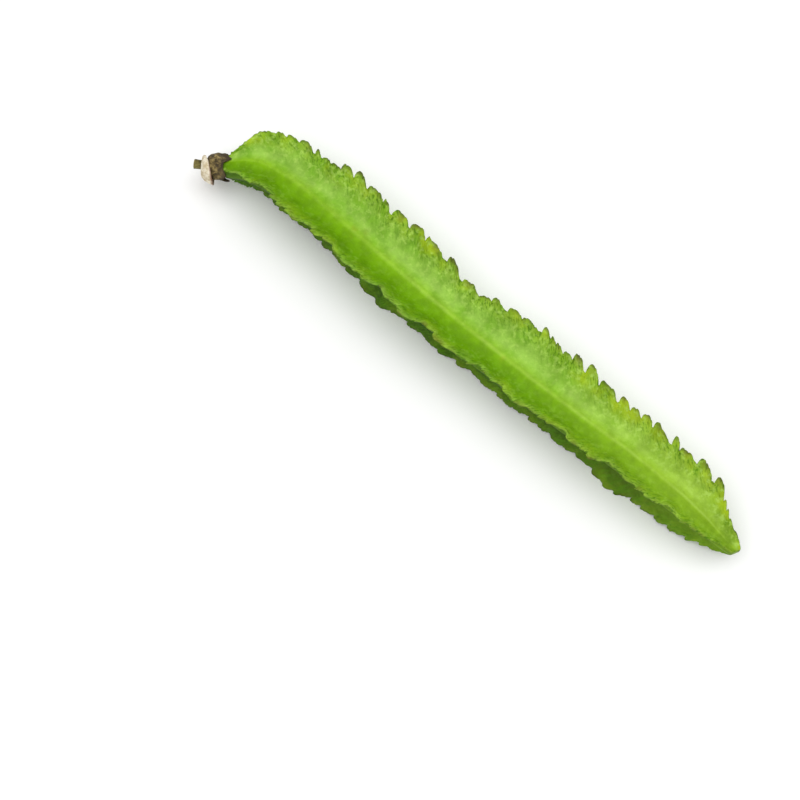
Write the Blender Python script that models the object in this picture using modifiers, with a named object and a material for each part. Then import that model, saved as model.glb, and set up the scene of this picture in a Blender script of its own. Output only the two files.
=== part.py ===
"""A winged bean pod lying on a flat surface, with its dried calyx, a papery bract and the stub of its stalk.

The pod is one lofted body: a four-cornered core with a frilled wing growing out of each corner. Its sections stand
along a gently bowed centreline, from the neck inside the calyx to the blunt beak at the other end. The upper outer
wing has the teeth listed below, and the other three have seeded ones. Metres, +Z up, the surface at Z = 0, +X from
the stalk to the beak, +Y towards the outside of the bow.
"""

import math
import random
from dataclasses import dataclass

import bmesh
import bpy
from mathutils import Vector

MM = 0.001

# Where the end of the neck stands, so that the whole lies evenly round X = Y = 0
NECK_X = -103.1 * MM
NECK_Y = -7.2 * MM

# Stations along the pod, in millimetres: distance from the neck's end along X, the centreline across (+Y) and up
# (+Z), the section's turn about Z in degrees, the core's half thickness, and the reach of the four wings from the
# centreline to the notches between their teeth
STATIONS = (
    (0.0, 0.0, 10.5, 31.0, 2.6, 2.7, 2.7, 2.7, 2.7),
    (3.0, 1.8, 10.6, 24.0, 3.2, 4.4, 3.5, 3.4, 4.2),
    (5.0, 3.4, 10.7, 18.0, 3.8, 7.6, 5.8, 5.0, 7.2),
    (7.5, 5.3, 10.8, 12.0, 4.3, 12.0, 7.5, 6.4, 9.8),
    (11.5, 7.4, 10.9, 7.0, 4.8, 13.8, 10.0, 7.6, 11.2),
    (18.0, 8.7, 11.0, 3.0, 5.2, 14.6, 12.0, 8.6, 12.0),
    (28.0, 9.0, 11.1, 0.0, 5.4, 14.0, 13.2, 9.4, 12.3),
    (37.0, 8.4, 11.1, -2.0, 5.5, 16.2, 13.4, 9.7, 12.4),
    (47.0, 7.4, 11.1, -3.5, 5.5, 16.5, 13.6, 10.0, 12.4),
    (62.0, 6.0, 11.1, -5.0, 5.5, 15.8, 14.0, 10.6, 12.4),
    (82.0, 4.2, 11.1, -4.5, 5.5, 15.6, 13.8, 11.2, 12.4),
    (95.0, 3.3, 11.1, -3.5, 5.5, 12.8, 13.2, 11.3, 12.4),
    (106.0, 2.7, 11.1, -2.5, 5.5, 15.2, 12.4, 11.0, 12.3),
    (122.0, 2.0, 11.1, -1.5, 5.4, 16.4, 11.6, 10.7, 12.2),
    (134.0, 1.7, 11.1, -1.0, 5.3, 16.0, 11.6, 10.8, 12.1),
    (150.0, 1.5, 11.1, -0.7, 5.2, 13.6, 11.6, 11.0, 12.0),
    (172.0, 1.2, 11.95, -1.5, 4.8, 12.8, 10.2, 11.7, 11.6),
    (190.0, 0.4, 11.4, -3.5, 4.2, 12.0, 8.6, 11.2, 10.4),
    (200.0, -0.4, 10.6, -5.0, 3.3, 9.8, 6.0, 8.8, 8.2),
    (208.0, -1.0, 9.5, -5.0, 2.3, 5.6, 3.6, 5.0, 4.6),
    (213.6, -1.4, 9.0, -5.0, 1.5, 1.9, 1.9, 1.9, 1.9),
)
ACROSS, UP, TURN, CORE, REACH = 1, 2, 3, 4, 5
POD_LENGTH = STATIONS[-1][0] * MM

# Teeth of the upper outer wing, in millimetres: where each starts and how high it stands over the notches
OUTER_TEETH = (
    (0.0, 0.0), (6.8, 0.3), (12.1, 0.6), (15.4, 0.8), (19.5, 1.4), (25.8, 1.8), (28.5, 0.7), (32.3, 0.6),
    (36.5, 2.2), (41.4, 2.8), (47.1, 1.8), (54.0, 2.0), (59.5, 2.2), (66.6, 2.3), (73.5, 2.5), (83.5, 2.6),
    (91.6, 1.6), (99.4, 0.5), (103.8, 1.6), (110.4, 1.6), (115.6, 1.3), (123.2, 2.2), (126.8, 1.3), (129.7, 1.2),
    (133.4, 1.2), (136.7, 2.6), (142.5, 3.3), (148.6, 3.3), (156.7, 2.6), (161.1, 1.7), (165.3, 2.0), (170.0, 3.0),
    (177.8, 3.0), (180.8, 1.8), (187.4, 2.8), (195.2, 3.2), (201.0, 1.2), (203.5, 1.0), (205.9, 0.8), (208.4, 0.7),
)
TEETH = len(OUTER_TEETH)
# Where along a tooth the wing's edge has its points, how much of the tooth's height each has, how far the tooth
# leans towards the stem as a share of its height, and how far the seeded teeth start from the middle of their step
TOOTH_PHASES = (0.0, 0.18, 0.58)
TOOTH_SHARES = (0.0, 1.0, 0.88)
TOOTH_HOOK = 0.35
TOOTH_SHIFT = 0.28
LEAST_TOOTH = 0.3
TOOTH_RARITY = 1.3
SMOOTHING_PASSES = 8
VEIN_LEAN = 5 * MM


@dataclass(frozen=True)
class Wing:
    """One wing: its angle round the section from +Y towards +Z, how far its edge bends and waves, and its teeth."""

    angle: float
    bend: float
    waviness: float
    highest_tooth: float
    seed: int


# The upper outer wing, the upper inner one, and the two lower ones, in order round the section
WINGS = (
    Wing(angle=40.0, bend=-1.0 * MM, waviness=1.0, highest_tooth=3.3 * MM, seed=5),
    Wing(angle=126.0, bend=2.2 * MM, waviness=0.7, highest_tooth=2.6 * MM, seed=11),
    Wing(angle=235.0, bend=0.8 * MM, waviness=0.6, highest_tooth=1.7 * MM, seed=23),
    Wing(angle=316.0, bend=-0.8 * MM, waviness=0.6, highest_tooth=1.7 * MM, seed=37),
)
EDGE_HALF_THICKNESS = 0.36 * MM
SUTURE_RIDGE = 0.3 * MM

# The core's faces: their radius, and the fillet at the foot of a wing, as shares of its half thickness
FACE_ROUNDING = 1.3
FILLET = 0.47

# Waves along a wing's edge: length and height of each, how much its phase wanders and over how many of its
# lengths, and how fast the waves grow from the core to the edge
RUFFLES = ((24 * MM, 1.1 * MM), (10.5 * MM, 0.7 * MM))
WANDER = 0.9
WANDER_LENGTHS = 3.7
WANDER_SEEDING = 1.7
RUFFLE_GROWTH = 1.6
STEM_FADE = 16 * MM
BEAK_FADE = 20 * MM

# How far the beak's blunt end slants, reaching farther on its outer side, and over what length
BEAK_SLANT = 0.5
BEAK_SLANT_LENGTH = 6 * MM

# Shares of the way from the core's middle to the notches at which a wing has its points
LEVELS = (0.24, 0.48, 0.76)
SLOTS = 2 * (len(LEVELS) + 1) + 1
AROUND = len(WINGS) * SLOTS

# The pod stands on three lobes of its lower wings: the wing's number, where, and how much farther it reaches
FEET = ((2, 68 * MM, 2.4 * MM), (3, 104 * MM, 3.0 * MM), (2, 168 * MM, 2.4 * MM))
FOOT_SPREAD = 6.5 * MM

GAP = 0.3 * MM
CALYX_PROFILE = ((-3.6, 1.9), (-3.4, 2.9), (-2.3, 4.0), (-0.4, 4.6), (1.5, 4.5), (2.6, 4.7))
CALYX_INSIDE = ((2.5, 4.1), (1.2, 3.8), (-0.5, 3.6))
CALYX_LOBES = ((70.0, 2.6, -0.2), (150.0, 1.4, 0.9), (215.0, 2.2, 0.1), (280.0, 1.8, 0.5), (345.0, 1.2, 0.8))
LOBE_WIDTH = 26.0
LOBE_ROUNDING = 1.5
CALYX_AROUND = 40

BRACT_PROFILE = ((-5.0, 2.2), (-4.7, 4.0), (-3.6, 5.2), (-2.2, 5.9), (-0.6, 6.2))
BRACT_FROM = 62.0
BRACT_TO = 330.0
BRACT_STEPS = 24
BRACT_THICKNESS = 0.6 * MM
BRACT_NARROWING = 0.85
BRACT_TAPER = 2

STALK_RADIUS = 1.5 * MM
STALK_LENGTH = 4.0 * MM
STALK_AROUND = 16
STALK_FLARE = 1.12


def clear_scene():
    """Remove everything the startup scene holds."""
    for obj in list(bpy.data.objects):
        bpy.data.objects.remove(obj)


def material(name, colour, roughness):
    """A Principled material of one colour."""
    made = bpy.data.materials.new(name)
    made.use_nodes = True
    shader = made.node_tree.nodes["Principled BSDF"]
    shader.inputs["Base Color"].default_value = (*colour, 1.0)
    shader.inputs["Roughness"].default_value = roughness
    shader.inputs["Metallic"].default_value = 0.0
    return made


def add_object(collection, bm, name, finish):
    """Turn a bmesh into an object of the collection, a closed one with its faces out, and free it."""
    bmesh.ops.recalc_face_normals(bm, faces=bm.faces)
    if bm.calc_volume(signed=True) < 0:
        bmesh.ops.reverse_faces(bm, faces=bm.faces)
    mesh = bpy.data.meshes.new(name)
    bm.to_mesh(mesh)
    bm.free()
    mesh.materials.append(finish)
    obj = bpy.data.objects.new(name, mesh)
    collection.objects.link(obj)
    return obj


def closed_tube(around, rings):
    """A capped cylinder cut into rings, and for each vertex its ring and its place round it."""
    bm = bmesh.new()
    bmesh.ops.create_cone(bm, cap_ends=True, segments=around, radius1=1, radius2=1, depth=1)
    lengthwise = [e for e in bm.edges if abs(e.verts[0].co.z - e.verts[1].co.z) > 0.5]
    bmesh.ops.subdivide_edges(bm, edges=lengthwise, cuts=rings - 1, use_grid_fill=True)
    turn = 2 * math.pi / around
    places = {
        v: (round((v.co.z + 0.5) * rings), round(math.atan2(v.co.y, v.co.x) / turn) % around)
        for v in bm.verts
    }
    return bm, places


def station_value(x, column):
    """A station's column at distance x from the neck's end, on a smooth curve through the stations."""
    at = min(max(x / MM, STATIONS[0][0]), STATIONS[-1][0])
    last = len(STATIONS) - 1
    i = next(n for n in range(last) if at <= STATIONS[n + 1][0])

    def slope(n):
        before, after = STATIONS[max(n - 1, 0)], STATIONS[min(n + 1, last)]
        return (after[column] - before[column]) / (after[0] - before[0])

    low, high = STATIONS[i], STATIONS[i + 1]
    width = high[0] - low[0]
    t = (at - low[0]) / width
    eased = t * t * (3 - 2 * t)
    bend = t * (1 - t) * width * (slope(i) * (1 - t) - slope(i + 1) * t)
    return low[column] + (high[column] - low[column]) * eased + bend


def centre(x):
    """The centreline at distance x from the neck's end."""
    return Vector((NECK_X + x, NECK_Y + station_value(x, ACROSS) * MM, station_value(x, UP) * MM))


def fade(x):
    """From 0 at either end of the pod to 1 along most of it."""
    return max(0.0, min(1.0, x / STEM_FADE, (POD_LENGTH - x) / BEAK_FADE))


def smoothed(values, passes):
    """The list with its middle values averaged with their neighbours, the given number of times."""
    for _ in range(passes):
        inner = [(a + 2 * b + c) / 4 for a, b, c in zip(values, values[1:], values[2:])]
        values = [values[0], *inner, values[-1]]
    return values


def tooth_lists():
    """Where the core's own divisions start, and for each wing where its teeth start and how high they are."""
    outer_starts = [start * MM for start, _ in OUTER_TEETH] + [POD_LENGTH]
    outer_heights = [height * MM for _, height in OUTER_TEETH] + [0.0]
    even = smoothed(outer_starts, SMOOTHING_PASSES)
    core_starts = [x + VEIN_LEAN * fade(x) for x in even]
    wings = [(outer_starts, outer_heights)]
    for wing in WINGS[1:]:
        draw = random.Random(wing.seed)
        starts, heights = [0.0], [0.0]
        for before, here, after in zip(even, even[1:], even[2:]):
            starts.append(here + draw.uniform(-TOOTH_SHIFT, TOOTH_SHIFT) * (after - before) / 2)
            size = LEAST_TOOTH + (1 - LEAST_TOOTH) * draw.random() ** TOOTH_RARITY
            heights.append(wing.highest_tooth * size * fade(here))
        wings.append(([*starts, POD_LENGTH], [*heights, 0.0]))
    return core_starts, wings


def between(starts, tooth, phase):
    """Distance from the neck's end at a phase of a tooth."""
    if tooth == TEETH:
        return starts[TEETH]
    return starts[tooth] + phase * (starts[tooth + 1] - starts[tooth])


def ruffle(x, seed):
    """How far a wing's edge is waved to the side at x."""
    total = 0.0
    for length, height in RUFFLES:
        wander = WANDER * math.sin(2 * math.pi * x / (WANDER_LENGTHS * length) + WANDER_SEEDING * seed)
        total += height * math.sin(2 * math.pi * x / length + seed + wander)
    return total


def foot_drop(wing, x):
    """How much farther a lower wing reaches where the pod stands on it."""
    return sum(
        drop * math.exp(-(((x - place) / FOOT_SPREAD) ** 2)) for number, place, drop in FEET if number == wing
    )


def face_height(across_face, half_angle, core, share):
    """How far from the centre a face stands, at a distance across it from its middle line.

    The core's face is gently rounded, the wing's flank is a plane, and a fillet joins the two, which runs out as
    the share of the way to the wing's edge grows.
    """
    fillet = FILLET * core * (1 - share ** 2)
    rounded = core - across_face ** 2 / (2 * FACE_ROUNDING * core)
    flank = across_face / math.tan(half_angle) + EDGE_HALF_THICKNESS / math.sin(half_angle)
    return (rounded + flank + math.hypot(rounded - flank, fillet)) / 2


def pod_point(ring, place, core_starts, wing_teeth):
    """Where a point of the loft lies: its ring counts along the pod, its place round the section."""
    number, slot = divmod(place, SLOTS)
    tooth, step = divmod(ring, len(TOOTH_PHASES))
    phase = TOOTH_PHASES[step]
    steps_out = len(LEVELS)
    side = -1 if slot <= steps_out else 1
    level = slot if side < 0 else 2 * steps_out + 1 - slot

    wing = WINGS[number]
    neighbour = WINGS[(number + side) % len(WINGS)]
    half_angle = math.radians(abs((neighbour.angle - wing.angle + 180) % 360 - 180) / 2)
    angle = math.radians(wing.angle)
    core_x = between(core_starts, tooth, phase)
    core = station_value(core_x, CORE) * MM

    if slot == SLOTS - 1:
        x, offset = core_x, 0.0
        out = face_height(0.0, half_angle, core, 0.0) + SUTURE_RIDGE * fade(core_x)
        angle += half_angle
    else:
        starts, heights = wing_teeth[number]
        edge_x = between(starts, tooth, phase)
        share = 1.0 if level == steps_out else LEVELS[level]
        x = core_x + (edge_x - core_x) * share
        reach = station_value(x, REACH + number) * MM
        across_face = (reach * math.sin(half_angle) - EDGE_HALF_THICKNESS * math.cos(half_angle)) * share
        height = face_height(across_face, half_angle, core, share)
        out = height * math.cos(half_angle) + across_face * math.sin(half_angle)
        offset = side * (height * math.sin(half_angle) - across_face * math.cos(half_angle))
        waved = wing.waviness * ruffle(x, wing.seed) * share ** RUFFLE_GROWTH
        offset += (waved + wing.bend * share ** 2) * fade(x)
        if level == steps_out:
            tooth_height = heights[tooth] * TOOTH_SHARES[step]
            out += tooth_height + foot_drop(number, x)
            x -= TOOTH_HOOK * tooth_height

    turn = math.radians(station_value(core_x, TURN))
    across = Vector((-math.sin(turn), math.cos(turn), 0))
    up = Vector((0, 0, 1))
    outward = across * math.cos(angle) + up * math.sin(angle)
    sideways = up * math.cos(angle) - across * math.sin(angle)
    spread = outward * out + sideways * offset
    slant = BEAK_SLANT * max(0.0, 1 - (POD_LENGTH - x) / BEAK_SLANT_LENGTH)
    return centre(x) + spread + Vector((slant * spread.dot(across), 0, 0))


def split_alike(bm, places):
    """Split every four-cornered side face along the lean of the veins, alike on both faces of a wing."""

    def inwardness(vert):
        slot = places[vert][1] % SLOTS
        return min(slot + 1, SLOTS - 1 - slot)

    for face in [f for f in bm.faces if len(f.verts) == 4]:
        near = min(places[v][0] for v in face.verts)
        outer = max((v for v in face.verts if places[v][0] == near), key=lambda v: (inwardness(v), places[v]))
        inner = min((v for v in face.verts if places[v][0] > near), key=lambda v: (inwardness(v), places[v]))
        if not any(outer in e.verts and inner in e.verts for e in face.edges):
            bmesh.utils.face_split(face, inner, outer)


def make_pod(collection, finish):
    """The pod: a closed tube with its vertices moved onto the loft, cut flat where it stands on the surface."""
    core_starts, wing_teeth = tooth_lists()
    bm, places = closed_tube(AROUND, TEETH * len(TOOTH_PHASES))
    for v in bm.verts:
        v.co = pod_point(*places[v], core_starts, wing_teeth)
    split_alike(bm, places)
    everything = [*bm.verts, *bm.edges, *bm.faces]
    cut = bmesh.ops.bisect_plane(bm, geom=everything, plane_co=(0, 0, 0), plane_no=(0, 0, -1), clear_outer=True)
    rims = [e for e in cut["geom_cut"] if isinstance(e, bmesh.types.BMEdge)]
    bmesh.ops.holes_fill(bm, edges=rims)
    return add_object(collection, bm, "pod", finish)


def lobe_at(degrees):
    """How far the calyx's rim reaches over its cup at an angle round it, and how far it turns outwards there."""
    longer, outward = 0.0, 0.0
    for middle, length, flare in CALYX_LOBES:
        away = abs((degrees - middle + 180) % 360 - 180) / LOBE_WIDTH
        if away < 1:
            longer += length * (1 - away ** LOBE_ROUNDING)
            outward += flare * (1 - away)
    return longer, outward


def make_calyx(collection, finish):
    """The dried cup round the neck: outside, rim with five lobes, inside and floor."""
    rings = [*CALYX_PROFILE, *CALYX_INSIDE]
    rim = (len(CALYX_PROFILE) - 1, len(CALYX_PROFILE))
    bm, places = closed_tube(CALYX_AROUND, len(rings) - 1)
    for v in bm.verts:
        ring, place = places[v]
        x, radius = rings[ring]
        degrees = 360 * place / CALYX_AROUND
        if ring in rim:
            longer, outward = lobe_at(degrees)
            x, radius = x + longer, radius + outward
        angle = math.radians(degrees)
        v.co = Vector((x, radius * math.cos(angle), radius * math.sin(angle))) * MM
    return add_object(collection, bm, "calyx", finish)


def make_bract(collection, finish):
    """The papery bract that cups the calyx's foot: a curved sheet given its thickness by Solidify."""
    bm = bmesh.new()
    rows = len(BRACT_PROFILE) - 1
    bmesh.ops.create_grid(bm, x_segments=BRACT_STEPS, y_segments=rows, size=0.5)
    for v in bm.verts:
        share = v.co.x + 0.5
        row = round((v.co.y + 0.5) * rows)
        narrowing = 1 - BRACT_NARROWING * abs(2 * share - 1) ** BRACT_TAPER * row / rows
        x, radius = BRACT_PROFILE[row]
        foot_x, foot_radius = BRACT_PROFILE[0]
        x = foot_x + (x - foot_x) * narrowing
        radius = foot_radius + (radius - foot_radius) * narrowing
        angle = math.radians(BRACT_FROM + (BRACT_TO - BRACT_FROM) * share)
        v.co = Vector((x, radius * math.cos(angle), radius * math.sin(angle))) * MM
    bract = add_object(collection, bm, "bract", finish)
    sheet = bract.modifiers.new("thickness", "SOLIDIFY")
    sheet.thickness = BRACT_THICKNESS
    sheet.offset = 0.0
    return bract


def make_stalk(collection, finish):
    """The stub of the stalk: a short cylinder, its cut end a little wider, set against the calyx's foot."""
    bm = bmesh.new()
    bmesh.ops.create_cone(bm, cap_ends=True, segments=STALK_AROUND,
                          radius1=STALK_RADIUS * STALK_FLARE, radius2=STALK_RADIUS, depth=STALK_LENGTH)
    start = CALYX_PROFILE[0][0] * MM - GAP
    for v in bm.verts:
        x, y, z = v.co
        v.co = Vector((z + start - STALK_LENGTH / 2, x, y))
    return add_object(collection, bm, "stalk", finish)


def main():
    """Build the four pieces, those at the stalk's end turned along the neck."""
    clear_scene()
    collection = bpy.data.collections.new("winged_bean")
    bpy.context.scene.collection.children.link(collection)
    make_pod(collection, material("pod_green", (0.27, 0.5, 0.06), 0.45))
    stem_end = (
        make_calyx(collection, material("calyx_brown", (0.16, 0.1, 0.045), 0.8)),
        make_bract(collection, material("bract_cream", (0.68, 0.58, 0.42), 0.7)),
        make_stalk(collection, material("stalk_brown", (0.24, 0.2, 0.07), 0.8)),
    )
    for piece in stem_end:
        piece.location = centre(0.0)
        piece.rotation_euler.z = math.radians(STATIONS[0][TURN])


main()
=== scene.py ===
"""The looks of a winged bean pod, in a plain studio.

Its frilled green skin, dried calyx, papery bract and stalk each stand for a node of the frame.
"""

import logging
import math
import random
from dataclasses import dataclass, field
from enum import Enum

import bmesh
import bpy
import numpy as np
from mathutils import Euler, Matrix, Vector, noise


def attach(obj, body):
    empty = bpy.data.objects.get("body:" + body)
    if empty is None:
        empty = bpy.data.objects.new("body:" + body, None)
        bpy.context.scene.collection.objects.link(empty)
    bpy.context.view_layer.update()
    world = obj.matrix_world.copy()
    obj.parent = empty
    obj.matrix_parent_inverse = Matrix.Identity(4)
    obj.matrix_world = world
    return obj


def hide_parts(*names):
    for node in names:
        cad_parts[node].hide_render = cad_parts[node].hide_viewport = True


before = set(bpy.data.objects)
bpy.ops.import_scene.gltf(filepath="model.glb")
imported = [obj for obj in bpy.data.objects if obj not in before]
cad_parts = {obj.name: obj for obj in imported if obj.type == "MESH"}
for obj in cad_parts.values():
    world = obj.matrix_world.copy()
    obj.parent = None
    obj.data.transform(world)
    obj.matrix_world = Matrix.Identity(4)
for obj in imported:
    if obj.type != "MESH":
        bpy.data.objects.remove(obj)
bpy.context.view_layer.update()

MM = 0.001
LOG = logging.getLogger("winged_bean")

Colour = tuple[float, float, float]


class Column(Enum):
    """What each number of a station holds, after its distance from the neck's end."""

    ACROSS = 1
    UP = 2
    TURN = 3
    CORE = 4
    REACH = 5


class Side(Enum):
    """The two faces of a wing, going round the section."""

    BEFORE = -1
    AFTER = 1


class Seeding(Enum):
    """What is added to a wing's seed, so that each set of its random values is a set of its own."""

    TEETH = 0
    DENTICLES = 100
    VEINS = 200
    TOOTH_SHAPES = 300


def smoothstep(low: float, high: float, value: np.ndarray) -> np.ndarray:
    """An even rise from 0 to 1 between two limits.

    Args:
        low: where the rise starts.
        high: where it ends.
        value: what is compared with them.

    Returns:
        The eased share of the way between the limits.
    """
    share = np.clip((value - low) / (high - low), 0.0, 1.0)
    return share * share * (3 - 2 * share)


def linear(red: int, green: int, blue: int) -> Colour:
    """A colour seen on a screen, 0 to 255, in the linear numbers that the shaders take, by the sRGB curve."""
    values = [channel / 255 for channel in (red, green, blue)]
    return tuple(v / 12.92 if v <= 0.04045 else ((v + 0.055) / 1.055) ** 2.4 for v in values)


@dataclass(frozen=True)
class Rise:
    """An eased rise: where it starts and ends, and what it gives below and above."""

    low: float
    high: float
    to_low: float = 0.0
    to_high: float = 1.0


@dataclass(frozen=True)
class Mottle:
    """One use of the shared mottle.

    The scale is how many patches fit in one unit. The limits are the pattern's values at which the mask
    starts and is full. Most is what it gives where it is full, and least what it gives between the patches.
    Detail is how many finer layers the pattern has, and roughness how strong they are.
    """

    scale: float
    limits: tuple[float, float] = (0.3, 0.7)
    most: float = 1.0
    least: float = 0.0
    detail: float = 3.0
    roughness: float = 0.55


def mottle_group() -> bpy.types.NodeTree:
    """The patches, specks and fibres that every finish shares, made the first time they are asked for.

    Returns:
        A node group that reads a cloudy pattern at a place, and gives a mask from least to most.
    """
    name = "plant_mottle"
    if name in bpy.data.node_groups:
        return bpy.data.node_groups[name]
    tree = bpy.data.node_groups.new(name, "ShaderNodeTree")
    tree.interface.new_socket("Place", in_out="INPUT", socket_type="NodeSocketVector")
    for socket in ("Scale", "Detail", "Roughness", "From", "To", "Least", "Most"):
        tree.interface.new_socket(socket, in_out="INPUT", socket_type="NodeSocketFloat")
    tree.interface.new_socket("Mask", in_out="OUTPUT", socket_type="NodeSocketFloat")
    given = tree.nodes.new("NodeGroupInput").outputs
    cloud = tree.nodes.new("ShaderNodeTexNoise")
    tree.links.new(given["Place"], cloud.inputs["Vector"])
    for socket in ("Scale", "Detail", "Roughness"):
        tree.links.new(given[socket], cloud.inputs[socket])
    limits = tree.nodes.new("ShaderNodeMapRange")
    limits.interpolation_type = "SMOOTHSTEP"
    tree.links.new(cloud.outputs["Fac"], limits.inputs["Value"])
    for source, socket in (("From", "From Min"), ("To", "From Max"), ("Least", "To Min"), ("Most", "To Max")):
        tree.links.new(given[source], limits.inputs[socket])
    result = tree.nodes.new("NodeGroupOutput")
    tree.links.new(limits.outputs["Result"], result.inputs["Mask"])
    return tree


@dataclass
class Shader:
    """A material's node tree, with short ways to add and join its nodes."""

    name: str
    roughness: float
    tree: bpy.types.NodeTree = field(init=False)
    surface: bpy.types.Node = field(init=False)
    material: bpy.types.Material = field(init=False)

    def __post_init__(self) -> None:
        """Make the material and find its Principled shader."""
        self.material = bpy.data.materials.new(self.name)
        self.material.use_nodes = True
        self.tree = self.material.node_tree
        self.surface = self.tree.nodes["Principled BSDF"]
        self.surface.inputs["Roughness"].default_value = self.roughness

    def node(self, kind: str, **settings: object) -> bpy.types.Node:
        """Add a node.

        Args:
            kind: Blender's name for the node's type, without ShaderNode.
            **settings: its properties.

        Returns:
            The new node.
        """
        made = self.tree.nodes.new("ShaderNode" + kind)
        for key, value in settings.items():
            setattr(made, key, value)
        return made

    def feed(self, socket: bpy.types.NodeSocket, value: object) -> None:
        """Join another socket to this one, or set its value.

        Args:
            socket: the input that is fed.
            value: a socket to join to it, or a number or colour to set.
        """
        if isinstance(value, bpy.types.NodeSocket):
            self.tree.links.new(value, socket)
        elif isinstance(value, tuple) and len(value) == 3 and socket.type == "RGBA":
            socket.default_value = (*value, 1.0)
        else:
            socket.default_value = value

    def attribute(self, name: str) -> bpy.types.NodeSocket:
        """The value of one of the mesh's own attributes."""
        return self.node("Attribute", attribute_name=name).outputs["Fac"]

    def math(self, operation: str, first: object, second: object) -> bpy.types.NodeSocket:
        """Two values joined by one of the operations that the Math node names.

        Args:
            operation: Blender's name for it.
            first: a socket or number.
            second: another.

        Returns:
            The result.
        """
        made = self.node("Math", operation=operation)
        self.feed(made.inputs[0], first)
        self.feed(made.inputs[1], second)
        return made.outputs[0]

    def times(self, first: object, *others: object) -> bpy.types.NodeSocket:
        """The product of two or more values.

        Args:
            first: a socket.
            *others: more sockets or numbers.

        Returns:
            The product.
        """
        for other in others:
            first = self.math("MULTIPLY", first, other)
        return first

    def within(self, value: object, rise: Rise) -> bpy.types.NodeSocket:
        """A value eased from one range into another.

        Args:
            value: the socket that is read.
            rise: the two ranges.

        Returns:
            The eased value.
        """
        made = self.node("MapRange", interpolation_type="SMOOTHSTEP")
        for socket, given in zip(made.inputs, (value, rise.low, rise.high, rise.to_low, rise.to_high)):
            self.feed(socket, given)
        return made.outputs["Result"]

    def mix(self, share: object, first: object, second: object, blend: str = "MIX") -> bpy.types.NodeSocket:
        """One colour laid over another.

        Args:
            share: how much of the second colour shows.
            first: the colour below.
            second: the colour above.
            blend: how they are laid over each other.

        Returns:
            The mixed colour.
        """
        made = self.node("Mix", data_type="RGBA", blend_type=blend)
        self.feed(made.inputs[0], share)
        self.feed(made.inputs[6], first)
        self.feed(made.inputs[7], second)
        return made.outputs[2]

    def ramp(self, value: object, stops: tuple[tuple[float, Colour], ...]) -> bpy.types.NodeSocket:
        """Colours that follow one another as a value grows.

        Args:
            value: the socket that is read.
            stops: each colour, after the value at which it stands.

        Returns:
            The colour.
        """
        made = self.node("ValToRGB")
        self.feed(made.inputs["Fac"], value)
        elements = made.color_ramp.elements
        while len(elements) < len(stops):
            elements.new(1.0)
        for element, (place, colour) in zip(elements, stops):
            element.position = place
            element.color = (*colour, 1.0)
        return made.outputs["Color"]

    def place(self) -> bpy.types.NodeSocket:
        """The point on the object, in metres."""
        return self.node("TexCoord").outputs["Object"]

    def vector(self, x: object, y: object, z: object) -> bpy.types.NodeSocket:
        """A vector made of three values.

        Args:
            x: its first part, a socket or number.
            y: its second.
            z: its third.

        Returns:
            The vector.
        """
        made = self.node("CombineXYZ")
        for socket, value in zip(made.inputs, (x, y, z)):
            self.feed(socket, value)
        return made.outputs[0]

    def mottle(self, place: object, patches: Mottle) -> bpy.types.NodeSocket:
        """Patches of the shared mottle.

        Args:
            place: where the pattern is read.
            patches: their size, strength and layers.

        Returns:
            The mask.
        """
        made = self.node("Group", node_tree=mottle_group())
        given = (place, patches.scale, patches.detail, patches.roughness, *patches.limits, patches.least,
                 patches.most)
        for socket, value in zip(made.inputs, given):
            self.feed(socket, value)
        return made.outputs["Mask"]

    def bump(self, height: object, distance: float) -> None:
        """Let the surface's normal follow a height, the distance being what a height of 1 stands up.

        Args:
            height: the socket that is read.
            distance: in metres.
        """
        made = self.node("Bump")
        made.inputs["Strength"].default_value = 1.0
        made.inputs["Distance"].default_value = distance
        self.feed(made.inputs["Height"], height)
        self.feed(self.surface.inputs["Normal"], made.outputs["Normal"])

    def paint(self, colour: object) -> None:
        """Give the shader its colour."""
        self.feed(self.surface.inputs["Base Color"], colour)


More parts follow.
